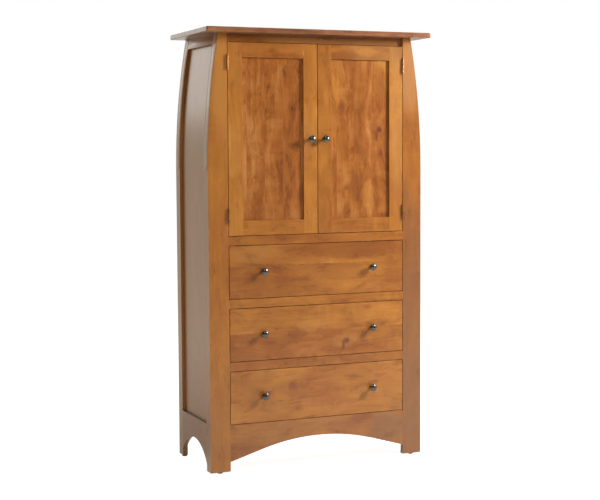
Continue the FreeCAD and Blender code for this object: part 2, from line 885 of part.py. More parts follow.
def build_catches(d):
    """Magnet housings under the top rail that meet the plates on the backs of the doors."""
    face = d.door_back + d.strike_thick + d.catch_gap
    back = d.top_rail_back + d.catch_flange_thick
    high = d.door_head - d.catch_gap
    housing = board(
        "door_catch_housing",
        (d.catch_from_middle, face, high - d.catch_height),
        (d.catch_width, back - face, d.catch_height),
    )
    flange = board(
        "door_catch_flange",
        (d.catch_from_middle, d.top_rail_back, high - d.catch_flange_thick),
        (d.catch_width, d.catch_flange_thick, d.catch_flange_height),
    )
    flange_and_housing = fuse("door_catch_right", [housing, flange])
    node(pair("door_catches", flange_and_housing))


def channel(label, web, lip, middle, height, wall, start, length):
    """Rolled channel: an upright web, and a flange above and below that reach towards the lip."""
    inward = 1 if lip.value > web.value else -1
    web_inner = web + inward * wall
    low = middle - height / 2
    high = middle + height / 2
    corners = [
        (web, low),
        (lip, low),
        (lip, low + wall),
        (web_inner, low + wall),
        (web_inner, high - wall),
        (lip, high - wall),
        (lip, high),
        (web, high),
    ]
    return prism(label, "XZ_Plane", corners, start, length)


def build_slides(d, name, middle):
    """Telescopic slide of the right side: one channel on the gable, one between, one on the drawer."""
    gap = d.slide_clearance
    wall = d.slide_wall
    start = d.front + d.drawer_front_thick + d.slide_setback
    drawer_face = d.opening_half - d.slide_space
    between_web = d.opening_half - wall - gap
    between_height = d.slide_height - 2 * (wall + gap)
    drawer_height = between_height - 2 * (wall + gap)
    lip = drawer_face + wall + gap
    drawer_lip = between_web - wall - gap
    members = []
    for part, web, edge, height in (
        ("case_member", d.opening_half, lip, d.slide_height),
        ("between", between_web, lip, between_height),
        ("drawer_member", drawer_face, drawer_lip, drawer_height),
    ):
        label = "%s_slide_%s" % (name, part)
        members.append(channel(label, web, edge, middle, height, wall, start, d.slide_length))
    return members


def build_drawer_side(d, label, low, height):
    """Drawer side with a row of dovetails on its front end."""
    inner = d.opening_half - d.slide_space - d.drawer_side_thick
    shoulder = d.front + d.drawer_front_thick
    corners = [
        (shoulder, low),
        (shoulder + d.drawer_box_depth, low),
        (shoulder + d.drawer_box_depth, low + height),
        (shoulder, low + height),
    ]
    body = prism(label, "YZ_Plane", corners, inner, d.drawer_side_thick)
    pitch = height / d.tail_count
    middle = low + pitch / 2
    tip = d.tail_tip_width / 2
    neck = d.tail_root_width / 2
    sketch = new_sketch(body, "YZ_Plane", label + "_tail")
    tail_corners = [
        (shoulder, middle - neck),
        (shoulder, middle + neck),
        (shoulder - d.tail_length, middle + tip),
        (shoulder - d.tail_length, middle - tip),
    ]
    draw(sketch, tail_corners)
    doc.recompute()
    tail = add_pad(body, sketch, label + "_tail_pad", d.drawer_side_thick)
    pattern_upwards(body, sketch, tail, label + "_tails", height - pitch, d.tail_count)
    return body


def build_drawer(d, name, floor):
    """Inset front with lapped dovetails, two sides, a back, a bottom in grooves, two knobs and its slides."""
    label = name + "_drawer"
    low = floor + d.drawer_bottom_room
    height = d.drawer_opening - d.drawer_bottom_room - d.drawer_top_room
    shoulder = d.front + d.drawer_front_thick
    inner = d.opening_half - d.slide_space - d.drawer_side_thick
    box_back = shoulder + d.drawer_box_depth
    side = build_drawer_side(d, label + "_side_blank", low, height)
    side_left = mirror(label + "_side_blank_left", side)
    bottom_low = low + d.drawer_bottom_lift
    bottom_top = bottom_low + d.drawer_bottom_thick
    bottom = board(
        label + "_bottom",
        (-inner - d.drawer_groove_depth, shoulder - d.drawer_groove_depth, bottom_low),
        (
            2 * (inner + d.drawer_groove_depth),
            d.drawer_box_depth + d.drawer_groove_depth,
            d.drawer_bottom_thick,
        ),
    )
    back = board(
        label + "_back",
        (-inner - d.drawer_groove_depth, box_back - 2 * d.drawer_side_thick, bottom_top),
        (2 * (inner + d.drawer_groove_depth), d.drawer_side_thick, low + height - bottom_top),
    )
    front_half = d.opening_half - d.reveal
    front_blank = board(
        label + "_front_blank",
        (-front_half, d.front, floor + d.reveal),
        (2 * front_half, d.drawer_front_thick, d.drawer_opening - 2 * d.reveal),
    )
    node(cut(label + "_front", front_blank, [side, side_left, bottom]))
    node(pair(label + "_sides", cut(label + "_side", side, [bottom, back])))
    node(back)
    node(bottom)
    knob = build_knob(d, label + "_knob", d.drawer_knob_offset, floor + d.drawer_opening / 2)
    node(pair(label + "_knobs", knob))
    case_member, between, drawer_member = build_slides(d, name, low + height / 2)
    node(pair(label + "_slide_members", drawer_member))
    node(pair(name + "_slide_intermediates", between))
    return [case_member, mirror(name + "_slide_case_member_left", case_member)]


def build_case(d):
    panel = build_side_panel(d)
    top_rail = build_side_top_rail(d, panel)
    bottom_rail = build_side_bottom_rail(d, panel)
    node(panel)
    node(mirror("side_panel_left", panel))
    node(pair("side_top_rails", top_rail))
    node(pair("side_bottom_rails", bottom_rail))
    top_face = d.front + d.top_rail_recess
    top = build_front_rail(d, "front_top_rail", d.door_head, d.top_rail_height, top_face)
    middle_low = d.deck_top - d.divider_height
    middle = build_front_rail(d, "front_middle_rail", middle_low, d.divider_height, d.front)
    dividers = []
    for count, name in enumerate(DRAWER_NAMES[1:], start=1):
        low = d.leg_height + count * d.level_step - d.divider_height
        label = "drawer_divider_under_" + name
        dividers.append(build_front_rail(d, label, low, d.divider_height, d.front))
    arched = build_arched_rail(d)
    node(top)
    node(middle)
    node(group("drawer_dividers", dividers))
    node(arched)
    back = build_back(d)
    build_posts(d, [panel, top_rail, bottom_rail], [top, middle, arched] + dividers, back)


def check_and_write():
    doc.recompute()
    for item in doc.Objects:
        if "Invalid" in item.State or "Error" in item.State:
            raise RuntimeError("%s failed: %s" % (item.Label, item.State))
    for item in nodes:
        if item.Shape.isNull() or not item.Shape.isValid():
            raise RuntimeError("%s has no sound shape" % item.Label)
    os.makedirs("parts", exist_ok=True)
    for item in nodes:
        item.Shape.exportStep("parts/%s.step" % item.Label)


def main():
    d = Dimensions(fill_sheet())
    build_top(d)
    build_case(d)
    build_gables(d)
    build_inside(d)
    build_glides(d)
    build_doors(d, build_hinges(d))
    build_catches(d)
    case_members = []
    for count, name in enumerate(DRAWER_NAMES):
        case_members += build_drawer(d, name, d.leg_height + count * d.level_step)
    node(group("slide_case_members", case_members))
    check_and_write()


main()
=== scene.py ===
import math

import bmesh
import bpy
from mathutils import Matrix, Vector


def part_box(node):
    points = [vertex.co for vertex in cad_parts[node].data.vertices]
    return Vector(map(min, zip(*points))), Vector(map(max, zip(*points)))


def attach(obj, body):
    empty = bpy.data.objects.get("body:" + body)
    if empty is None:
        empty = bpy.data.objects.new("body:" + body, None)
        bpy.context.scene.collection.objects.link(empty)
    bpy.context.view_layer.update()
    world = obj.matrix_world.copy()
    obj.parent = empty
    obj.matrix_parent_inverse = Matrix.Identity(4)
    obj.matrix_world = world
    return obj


# Looks of the bow-sided armoire: stained wood, dark knobs, bronze hinges, the small fasteners, the light
# and the camera. Metres, +Z up, the front faces -Y. Colours are written as sRGB bytes.

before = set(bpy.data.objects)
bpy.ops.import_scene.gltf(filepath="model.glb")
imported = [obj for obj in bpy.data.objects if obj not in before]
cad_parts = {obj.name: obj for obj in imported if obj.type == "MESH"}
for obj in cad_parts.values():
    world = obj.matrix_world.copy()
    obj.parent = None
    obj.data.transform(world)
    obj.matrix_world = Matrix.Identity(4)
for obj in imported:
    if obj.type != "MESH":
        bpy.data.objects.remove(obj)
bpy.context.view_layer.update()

MM = 0.001
DOORS = ("left_door", "right_door")
DRAWERS = ("lower_drawer", "middle_drawer", "upper_drawer")

# Camera, fitted to the straight lines of the photograph, whose frame is 600 x 500.
CAMERA_PLACE = Vector((-2.3808, -5.5818, 1.3903))
CAMERA_YAW = math.radians(23.048)
CAMERA_PITCH = math.radians(4.247)
CAMERA_ROLL = math.radians(-0.321)
SENSOR_WIDTH_MM = 36.0
FOCAL_LENGTH_MM = 80.68


def linear(red, green, blue):
    """An sRGB colour in bytes as the linear colour that a shader takes."""
    shares = [value / 255 for value in (red, green, blue)]
    return tuple(s / 12.92 if s <= 0.04045 else ((s + 0.055) / 1.055) ** 2.4 for s in shares) + (1.0,)


class Signal:
    """A number or colour that varies over a surface; arithmetic on it adds the nodes that work it out."""

    def __init__(self, graph, socket):
        self.graph = graph
        self.socket = socket

    def __add__(self, other):
        return self.graph.math("ADD", self, other)

    def __sub__(self, other):
        return self.graph.math("SUBTRACT", self, other)

    def __mul__(self, other):
        return self.graph.math("MULTIPLY", self, other)

    def __truediv__(self, other):
        return self.graph.math("DIVIDE", self, other)

    __radd__ = __add__


# The colour sockets of a Mix node, which has a set of sockets for each kind of value.
MIX_FIRST = 6
MIX_SECOND = 7
MIX_RESULT = 2


class Graph:
    """A shader node tree, built one node at a time."""

    def __init__(self, tree):
        self.tree = tree

    def add(self, kind, inputs=None, **settings):
        """Adds a node. An input is a plain value or a signal to link."""
        made = self.tree.nodes.new(kind)
        for name, value in settings.items():
            setattr(made, name, value)
        for key, value in (inputs or {}).items():
            if isinstance(value, Signal):
                self.tree.links.new(value.socket, made.inputs[key])
            else:
                made.inputs[key].default_value = value
        return made

    def signal(self, made, output=0):
        return Signal(self, made.outputs[output])

    def math(self, operation, *values):
        return self.signal(self.add("ShaderNodeMath", dict(enumerate(values)), operation=operation))

    def vector(self, x, y, z):
        return self.signal(self.add("ShaderNodeCombineXYZ", {0: x, 1: y, 2: z}))

    def stretched(self, scale, along, across, depth):
        """A point in the cells of a noise that has one scale along the grain and another across it."""
        long_scale, wide_scale = scale
        return self.vector(along * long_scale, across * wide_scale, depth * wide_scale)

    def axes(self, vector):
        made = self.add("ShaderNodeSeparateXYZ", {0: vector})
        return [self.signal(made, output) for output in range(3)]

    def noise(self, vector, detail=2.0, roughness=0.5, distortion=0.0):
        inputs = {
            "Vector": vector,
            "Scale": 1.0,
            "Detail": detail,
            "Roughness": roughness,
            "Distortion": distortion,
        }
        return self.signal(self.add("ShaderNodeTexNoise", inputs))

    def spread(self, value, low, high, start=0.0, end=1.0):
        """The value's way from low to high, eased, as a number from start to end."""
        inputs = {0: value, 1: low, 2: high, 3: start, 4: end}
        return self.signal(self.add("ShaderNodeMapRange", inputs, interpolation_type="SMOOTHSTEP"))

    def blend(self, factor, first, second):
        inputs = {0: factor, MIX_FIRST: first, MIX_SECOND: second}
        return self.signal(self.add("ShaderNodeMix", inputs, data_type="RGBA"), MIX_RESULT)

    def ramp(self, factor, stops):
        made = self.add("ShaderNodeValToRGB", {0: factor})
        elements = made.color_ramp.elements
        while len(elements) < len(stops):
            elements.new(1.0)
        for element, (place, colour) in zip(elements, stops):
            element.position = place
            element.color = colour
        return self.signal(made)


def new_group(name, inputs, outputs):
    """An empty node group, with its inputs as signals."""
    tree = bpy.data.node_groups.new(name, "ShaderNodeTree")
    for label in inputs:
        tree.interface.new_socket(label, in_out="INPUT", socket_type="NodeSocketFloat")
    for label, kind in outputs.items():
        tree.interface.new_socket(label, in_out="OUTPUT", socket_type=kind)
    graph = Graph(tree)
    source = graph.add("NodeGroupInput")
    return graph, [graph.signal(source, label) for label in inputs]


GRAIN_INPUTS = ("Along", "Across", "Depth", "Seed", "Board Width", "Glue Line", "Tone", "Warmth", "Figure")
GRAIN_OUTPUTS = {"Color": "NodeSocketColor", "Roughness": "NodeSocketFloat", "Height": "NodeSocketFloat"}
BOARD_SCATTER = 6.0

# Scales of the figure along and across the grain, in cells to the metre.
SWAY_SCALE = (2.4, 5.0)
CLOUD_SCALE = (2.2, 5.0)
BLOTCH_SCALE = (8.0, 16.0)
SMUDGE_SCALE = (15.0, 38.0)
WISP_SCALE = (10.0, 28.0)
BAR_SCALE = (46.0, 8.0)
BAR_PATCH_SCALE = (3.1, 6.0)
STREAK_SCALE = (1.3, 55.0)
RING_SCALE = (0.8, 7.0)
FIBRE_SCALE = (6.0, 300.0)
PORE_SCALE = (30.0, 1500.0)
RUSSET_SCALE = (3.4, 8.5)

# Noise values between which a part of the figure goes from absent to full.
SMUDGE_EDGE = (0.57, 0.74)
WISP_EDGE = (0.05, 0.0)
WISP_PATCH_EDGE = (0.44, 0.60)
BAR_PATCH_EDGE = (0.46, 0.62)
PORE_EDGE = (0.60, 0.74)
RUSSET_EDGE = (0.44, 0.72)

# How far each part of the figure moves the shade, which runs from 0, the darkest tint, to 1, the palest.
BOARD_SHADE = 0.14
CLOUD_SHADE = 0.7
BLOTCH_SHADE = 1.0
WISP_SHADE = 0.12
BAR_SHADE = 0.4
SMUDGE_SHADE = 0.20
FIBRE_SHADE = 0.40
PORE_SHADE = 0.16
HALO_SHADE = 0.22

SWAY = 0.10
RING_SPREAD = 60.0
SMUDGE_WARMTH = 0.08
KNOT_CELL_LONG = 0.52
KNOT_CELL_WIDE = 0.16
KNOT_RARITY = 0.72
KNOT_STRETCH = 0.4
KNOT_RAGGED = 0.012
KNOT_LEAST = 0.002
KNOT_GROWTH = 0.004
KNOT_COVER = 0.8
HALO_REACH = 0.030
WOOD_ROUGHNESS = 0.28
BLOTCH_ROUGHNESS = 0.08
PORE_ROUGHNESS = 0.08
FIBRE_HEIGHT = 0.4


def make_board(name, plain_tints, warm_tints, knot_tint, streaks, rings):
    """Boards glued edge to edge, with blotches, wisps, cross bars, streaks, rings, pores and pin knots.

    streaks and rings say how strongly the long streaks and the arched growth rings show.
    """
    graph, values = new_group(name, GRAIN_INPUTS, GRAIN_OUTPUTS)
    along, across, depth, seed, board_width, glue_line, tone, warmth, figure = values
    number = graph.math("FLOOR", (across - glue_line) / board_width)
    pick = graph.add(
        "ShaderNodeTexWhiteNoise",
        {"Vector": graph.vector(number, seed, 0.5)},
        noise_dimensions="3D",
    )
    board_tone = graph.signal(pick, "Value")
    pick_x, pick_y, pick_z = graph.axes(graph.signal(pick, "Color"))

    x = along + pick_x * BOARD_SCATTER
    straight_y = across + pick_y * BOARD_SCATTER
    z = depth + pick_z * BOARD_SCATTER
    sway = graph.noise(graph.stretched(SWAY_SCALE, x, straight_y, z)) - 0.5
    y = straight_y + sway * SWAY

    def field(scale, detail=2.0, roughness=0.5, distortion=0.0):
        return graph.noise(graph.stretched(scale, x, y, z), detail, roughness, distortion)

    cloud = field(CLOUD_SCALE, detail=1.0)
    blotch = field(BLOTCH_SCALE, detail=3.0, roughness=0.6, distortion=0.4)
    smudge = graph.spread(field(SMUDGE_SCALE), *SMUDGE_EDGE)
    ridge = graph.math("ABSOLUTE", field(WISP_SCALE, detail=1.0) - 0.5)
    wisp = graph.spread(ridge, *WISP_EDGE) * graph.spread(cloud, *WISP_PATCH_EDGE)
    bar_patch = graph.spread(field(BAR_PATCH_SCALE, detail=1.0), *BAR_PATCH_EDGE)
    bars = (field(BAR_SCALE, detail=1.0) - 0.5) * bar_patch
    streak = field(STREAK_SCALE, detail=3.0, roughness=0.6) - 0.5
    ring = graph.math("SINE", field(RING_SCALE, detail=1.0) * RING_SPREAD)
    fibre = field(FIBRE_SCALE) - 0.5
    pore = graph.spread(field(PORE_SCALE, detail=1.0), *PORE_EDGE)

    cell_x = x / KNOT_CELL_LONG
    cell_y = straight_y / KNOT_CELL_WIDE
    cells = graph.add(
        "ShaderNodeTexVoronoi",
        {"Vector": graph.vector(cell_x, cell_y, 0.0), "Scale": 1.0},
        voronoi_dimensions="2D",
    )
    knot_x, knot_y, _ = graph.axes(graph.signal(cells, "Position"))
    chance, knot_size, _ = graph.axes(graph.signal(cells, "Color"))
    off_x = (cell_x - knot_x) * KNOT_CELL_LONG
    off_y = (cell_y - knot_y) * KNOT_CELL_WIDE
    off = graph.math("SQRT", off_x * off_x * KNOT_STRETCH + off_y * off_y)
    knot_distance = off + (blotch - 0.5) * KNOT_RAGGED
    present = graph.math("GREATER_THAN", chance, KNOT_RARITY)
    knot_radius = KNOT_LEAST + knot_size * KNOT_GROWTH
    knot = graph.spread(knot_distance, knot_radius, 0.0) * present * figure
    halo = graph.spread(knot_distance, HALO_REACH, 0.0) * present

    soft = (cloud - 0.5) * CLOUD_SHADE + (blotch - 0.5) * BLOTCH_SHADE
    soft = soft + wisp * WISP_SHADE + bars * BAR_SHADE - smudge * SMUDGE_SHADE
    fine = streak * streaks + ring * rings + fibre * FIBRE_SHADE - pore * PORE_SHADE - halo * HALO_SHADE
    shade = 0.5 + tone + (board_tone - 0.5) * BOARD_SHADE + figure * soft + figure * fine
    long_scale, wide_scale = RUSSET_SCALE
    patches = graph.noise(graph.vector(along * long_scale + seed, across * wide_scale, depth * wide_scale))
    russet = graph.spread(patches + smudge * SMUDGE_WARMTH + warmth, *RUSSET_EDGE)
    colour = graph.blend(russet, graph.ramp(shade, plain_tints), graph.ramp(shade, warm_tints))
    colour = graph.blend(knot * KNOT_COVER, colour, knot_tint)
    gloss = (blotch - 0.5) * BLOTCH_ROUGHNESS + pore * PORE_ROUGHNESS
    result = {
        "Color": colour,
        "Roughness": WOOD_ROUGHNESS + figure * gloss,
        "Height": fibre * FIBRE_HEIGHT - pore - knot,
    }
    graph.add("NodeGroupOutput", result)
    return graph.tree


STAINED_BOARD = make_board(
    "stained_board",
    [
        (0.0, linear(112, 60, 20)),
        (0.3, linear(149, 86, 33)),
        (0.5, linear(173, 106, 40)),
        (0.7, linear(193, 124, 48)),
        (1.0, linear(214, 154, 76)),
    ],
    [
        (0.0, linear(104, 50, 22)),
        (0.5, linear(167, 96, 35)),
        (1.0, linear(205, 140, 76)),
    ],
    linear(74, 34, 18),
    streaks=0.4,
    rings=0.04,
)
# The top board's tints hold its own colour, made paler and greyer by a painted sheen that stands in for the
# white light its rounded edges reflect.
PAINTED_SHEEN_BOARD = make_board(
    "painted_sheen_board",
    [(0.0, linear(116, 68, 40)), (0.5, linear(164, 110, 72)), (1.0, linear(200, 150, 108))],
    [(0.0, linear(108, 58, 38)), (0.5, linear(158, 98, 68)), (1.0, linear(192, 136, 100))],
    linear(80, 40, 24),
    streaks=0.7,
    rings=0.09,
)
PALE_BOARD = make_board(
    "pale_board",
    [(0.0, linear(176, 140, 96)), (0.5, linear(206, 174, 128)), (1.0, linear(226, 200, 160))],
    [(0.0, linear(168, 126, 82)), (0.5, linear(200, 162, 114)), (1.0, linear(222, 192, 150))],
    linear(120, 78, 44),
    streaks=0.6,
    rings=0.09,
)
PLYWOOD_FACE = make_board(
    "plywood_face",
    [(0.0, linear(132, 92, 54)), (0.5, linear(166, 124, 78)), (1.0, linear(194, 156, 108))],
    [(0.0, linear(124, 80, 46)), (0.5, linear(160, 112, 68)), (1.0, linear(190, 148, 100))],
    linear(86, 52, 30),
    streaks=0.8,
    rings=0.14,
)

# Tints of the marks. The darkest tint paints shade, the grey-tan one paints a reflection, and the pale and
# golden tints also paint light in a few marks.
REDDISH = linear(130, 62, 24)
DARK_KNOT = linear(92, 38, 24)
GOLDEN_AND_PAINTED_LIGHT = linear(204, 138, 66)
GREYED = linear(136, 96, 66)
PAINTED_REFLECTION = linear(179, 142, 104)
OLIVE = linear(140, 116, 78)
PALE_AND_PAINTED_LIGHT = linear(212, 160, 100)
PAINTED_SHADE = linear(66, 38, 18)

# Marks that stand out in the photograph, and a few that set the tone of a piece. Each is a place along
# and across the grain, its half length and half width, how far its tint goes, and the tint.
# A few marks are painted light, shade or reflection rather than the wood's own colour; each is noted where
# it stands.
MARKS = {
    "post_front_left": [
        # The golden mark at the top of the front left post is painted light, lifting the shade that the top
        # board's overhang casts there.
        (1.70, -0.430, 0.36, 0.080, 0.75, GOLDEN_AND_PAINTED_LIGHT),
        (0.06, -0.460, 0.30, 0.300, 0.20, GREYED),
    ],
    "post_front_right": [
        (0.30, 0.460, 1.10, 0.400, 0.60, GREYED),
        (1.80, 0.440, 0.30, 0.200, 0.40, PALE_AND_PAINTED_LIGHT),
    ],
    # The grey-tan tint over both rear posts is a painted reflection of the pale backdrop.
    "post_rear_left": [(0.95, -0.490, 4.00, 2.000, 0.60, PAINTED_REFLECTION)],
    "post_rear_right": [(0.95, 0.490, 4.00, 2.000, 0.60, PAINTED_REFLECTION)],
    "front_top_rail": [
        # Under the top board: the pale mark is painted light over the whole rail, and the dark strip along
        # its top is a painted shadow of the overhang.
        (0.250, 1.862, 0.650, 0.150, 0.30, PALE_AND_PAINTED_LIGHT),
        (0.000, 1.892, 3.000, 0.026, 0.35, PAINTED_SHADE),
    ],
    "right_door_hinge_stile": [
        (1.50, 0.382, 0.45, 0.060, 0.18, PALE_AND_PAINTED_LIGHT),
        (1.86, 0.382, 0.16, 0.080, 0.30, OLIVE),
    ],
    "right_door_panel": [
        (1.481, 0.304, 0.020, 0.016, 0.85, DARK_KNOT),
        (1.452, 0.291, 0.036, 0.009, 0.60, DARK_KNOT),
        (1.487, 0.285, 0.050, 0.040, 0.35, REDDISH),
        (1.579, 0.121, 0.050, 0.020, 0.60, REDDISH),
        (1.235, 0.188, 0.110, 0.045, 0.65, REDDISH),
        (1.120, 0.144, 0.050, 0.030, 0.55, REDDISH),
        (1.164, 0.297, 0.040, 0.028, 0.35, REDDISH),
    ],
    "right_door_rails": [
        (0.120, 1.802, 0.100, 0.032, 0.60, REDDISH),
        (0.290, 1.815, 0.200, 0.080, 0.35, GREYED),
        (0.240, 1.822, 0.070, 0.030, 0.55, GOLDEN_AND_PAINTED_LIGHT),
    ],
    # The dark line along the top ledge of the side bottom rails is painted shade in the corner where the
    # panel meets the rail.
    "side_bottom_rails": [(0.029, 0.2135, 0.600, 0.004, 0.85, PAINTED_SHADE)],
    "left_door_panel": [(1.206, -0.068, 0.060, 0.040, 0.45, REDDISH)],
    "upper_drawer_front": [
        (0.170, 0.962, 0.440, 0.075, 0.60, REDDISH),
        (0.231, 0.935, 0.110, 0.035, 0.20, REDDISH),
        (-0.330, 0.945, 0.190, 0.055, 0.40, GOLDEN_AND_PAINTED_LIGHT),
        (0.100, 0.845, 0.420, 0.060, 0.12, GOLDEN_AND_PAINTED_LIGHT),
        (0.400, 0.845, 0.110, 0.090, 0.35, REDDISH),
        (-0.175, 0.829, 0.075, 0.030, 0.45, REDDISH),
    ],
    "middle_drawer_front": [
        (0.130, 0.550, 0.080, 0.045, 0.40, GOLDEN_AND_PAINTED_LIGHT),
        (0.134, 0.545, 0.024, 0.018, 0.70, DARK_KNOT),
        (0.121, 0.523, 0.010, 0.026, 0.60, DARK_KNOT),
        (-0.098, 0.588, 0.065, 0.032, 0.50, REDDISH),
        (-0.041, 0.628, 0.080, 0.036, 0.55, GOLDEN_AND_PAINTED_LIGHT),
    ],
    "lower_drawer_front": [(-0.126, 0.360, 0.030, 0.024, 0.50, REDDISH)],
    "front_arched_rail": [
        (0.204, 0.190, 0.080, 0.030, 0.55, REDDISH),
        (0.360, 0.120, 0.170, 0.130, 0.55, GREYED),
        (-0.100, 0.120, 0.600, 0.300, 0.25, GREYED),
    ],
}

# How ragged a mark's outline is, and where in its reach it goes from absent to full.
MARK_SCALE = 1.3
MARK_RAGGED = 0.9
MARK_EDGE = (1.0, 0.35)

# The upward share of a face's normal from which the face counts as one that looks up.
TOP_FACING = (0.7, 0.95)
PORE_DEPTH = 0.2 * MM
AXIS = {"x": 0, "y": 1, "z": 2}

# The width of the boards that a piece is glued from, and the place of one glue line.
ONE_PIECE = (10.0, -5.0)
TOP_BOARDS = (0.12, 0.02)
PANEL_BOARDS = (0.085, 0.01)
SHELF_BOARDS = (0.11, 0.02)
GABLE_BOARDS = (0.13, 0.05)
DRAWER_BOARDS = {
    "lower_drawer": (0.15, 0.30),
    "middle_drawer": (0.15, 0.60),
    "upper_drawer": (0.15, 0.893),
}


def new_material(name):
    material = bpy.data.materials.new(name)
    material.use_nodes = True
    material.node_tree.nodes.clear()
    return material, Graph(material.node_tree)


def close_material(graph, shader):
    graph.add("ShaderNodeOutputMaterial", {"Surface": graph.signal(shader)})


def wood(
    name, group, grain, seed, boards=ONE_PIECE, tone=0.0, warmth=0.0, figure=1.0, relief=0.2, dull_top=0.0
):
    """A wood for one piece, with the marks that MARKS has for it, some of which paint light, shade and
    reflection.

    grain names the axes along it, across it and through its thickness, such as "zxy". figure is how
    strongly the figure shows, and relief how much its pores do. dull_top is how much rougher the faces that
    look up are, where the finish is thin.
    """
    material, graph = new_material(name)
    point = graph.axes(graph.signal(graph.add("ShaderNodeTexCoord"), "Object"))
    along, across, depth = (point[AXIS[letter]] for letter in grain)
    values = (along, across, depth, seed, *boards, tone, warmth, figure)
    board = graph.add("ShaderNodeGroup", node_tree=group)
    for label, value in zip(GRAIN_INPUTS, values):
        if isinstance(value, Signal):
            graph.tree.links.new(value.socket, board.inputs[label])
        else:
            board.inputs[label].default_value = value
    colour = graph.signal(board, "Color")
    for mark_along, mark_across, half_length, half_width, strength, tint in MARKS.get(name, ()):
        off_along = (along - mark_along) / half_length
        off_across = (across - mark_across) / half_width
        place = graph.vector(off_along * MARK_SCALE, off_across * MARK_SCALE, seed)
        ragged = graph.noise(place, detail=3.0, roughness=0.6, distortion=0.6)
        off = graph.math("SQRT", off_along * off_along + off_across * off_across)
        reach = off + (ragged - 0.5) * MARK_RAGGED
        colour = graph.blend(graph.spread(reach, *MARK_EDGE) * strength, colour, tint)
    bump = graph.add(
        "ShaderNodeBump",
        {"Strength": relief, "Distance": PORE_DEPTH, "Height": graph.signal(board, "Height")},
    )
    roughness = graph.signal(board, "Roughness")
    if dull_top:
        _, _, upward = graph.axes(graph.signal(graph.add("ShaderNodeNewGeometry"), "Normal"))
        roughness = roughness + graph.spread(upward, *TOP_FACING) * dull_top
    shader = graph.add(
        "ShaderNodeBsdfPrincipled",
        {"Base Color": colour, "Roughness": roughness, "Normal": graph.signal(bump)},
    )
    close_material(graph, shader)
    return material


METAL_PATCH_SCALE = (120.0, 120.0)
METAL_PATCH_EDGE = (0.3, 0.7)
METAL_PATCH_GLOSS = 0.1
METAL_SPECK_SCALE = (900.0, 900.0)
METAL_SPECK_GLOSS = 0.06
METAL_BUMP = {"Strength": 0.15, "Distance": 0.05 * MM}
PLASTIC_CAST_SCALE = (400.0, 400.0)
PLASTIC_ROUGHNESS = 0.45
PLASTIC_CAST_GLOSS = 0.2
PLASTIC_BUMP = {"Strength": 0.2, "Distance": 0.1 * MM}


def metal(name, dark, light, roughness):
    """A rubbed metal whose colour and gloss vary in soft patches."""
    material, graph = new_material(name)
    point = graph.axes(graph.signal(graph.add("ShaderNodeTexCoord"), "Object"))
    patches = graph.noise(graph.stretched(METAL_PATCH_SCALE, *point), detail=3.0, roughness=0.6)
    specks = graph.noise(graph.stretched(METAL_SPECK_SCALE, *point), detail=2.0, roughness=0.6)
    tints = [(0.0, linear(*dark)), (1.0, linear(*light))]
    colour = graph.ramp(graph.spread(patches, *METAL_PATCH_EDGE), tints)
    gloss = roughness + (patches - 0.5) * METAL_PATCH_GLOSS + (specks - 0.5) * METAL_SPECK_GLOSS
    bump = graph.add("ShaderNodeBump", {**METAL_BUMP, "Height": specks})
    shader = graph.add(
        "ShaderNodeBsdfPrincipled",
        {"Base Color": colour, "Metallic": 1.0, "Roughness": gloss, "Normal": graph.signal(bump)},
    )
    close_material(graph, shader)
    return material


def plastic(name, dark, light):
    """A moulded plastic with a fine cast texture."""
    material, graph = new_material(name)
    point = graph.axes(graph.signal(graph.add("ShaderNodeTexCoord"), "Object"))
    cast = graph.noise(graph.stretched(PLASTIC_CAST_SCALE, *point), detail=3.0, roughness=0.6)
    colour = graph.ramp(cast, [(0.3, linear(*dark)), (0.7, linear(*light))])
    gloss = PLASTIC_ROUGHNESS + cast * PLASTIC_CAST_GLOSS
    bump = graph.add("ShaderNodeBump", {**PLASTIC_BUMP, "Height": cast})
    shader = graph.add(
        "ShaderNodeBsdfPrincipled",
        {"Base Color": colour, "Roughness": gloss, "Normal": graph.signal(bump)},
    )
    close_material(graph, shader)
    return material


WELD_DISTANCE = 0.005 * MM
FLAT_ANGLE = math.radians(0.3)
SHARP_ANGLE = math.radians(35)
EASE_SEGMENTS = 2


def dress(name, material, ease=0.0):
    """Gives a CAD node its finish and, where ease is set, rounds its sharp edges that much, as if sanded.

    The CAD mesh is in triangles, so these are joined into faces again before the edges are rounded.
    """
    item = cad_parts[name]
    item.data.materials.clear()
    item.data.materials.append(material)
    if not ease:
        return
    weld = item.modifiers.new("weld", "WELD")
    weld.merge_threshold = WELD_DISTANCE
    flat = item.modifiers.new("flat_faces", "DECIMATE")
    flat.decimate_type = "DISSOLVE"
    flat.angle_limit = FLAT_ANGLE
    bevel = item.modifiers.new("eased_edges", "BEVEL")
    bevel.width = ease
    bevel.segments = EASE_SEGMENTS
    bevel.limit_method = "ANGLE"
    bevel.angle_limit = SHARP_ANGLE
    bevel.harden_normals = True


# How much paler or redder a piece is than plain boards. The posts' tones are painted light: the left posts
# are made paler and the right ones darker, to even out the key lamp's falloff from right to left.
POST_PAINTED_LIGHT = {"left": 0.12, "right": -0.06}
STILE_TONES = {
    "left_door_hinge_stile": 0.28,
    "left_door_meeting_stile": 0.18,
    "right_door_hinge_stile": 0.11,
    "right_door_meeting_stile": 0.0,
}
PANEL_TONES = {"left_door_panel": -0.02, "right_door_panel": 0.04}
PANEL_WARMTHS = {"left_door_panel": 0.22, "right_door_panel": 0.10}
DRAWER_TONES = {"lower_drawer": 0.17, "middle_drawer": 0.05, "upper_drawer": 0.02}
DULL_TOP = 0.5

# How far the edges are rounded.
POST_EASE = 1.6 * MM
BOARD_EASE = 0.6 * MM
TOP_EASE = 3.0 * MM

seeds = iter(range(1, 200))


def dress_wood(name, group, grain, ease=0.0, **looks):
    """Gives a CAD node a wood of its own, with the next seed."""
    dress(name, wood(name, group, grain, next(seeds), **looks), ease)


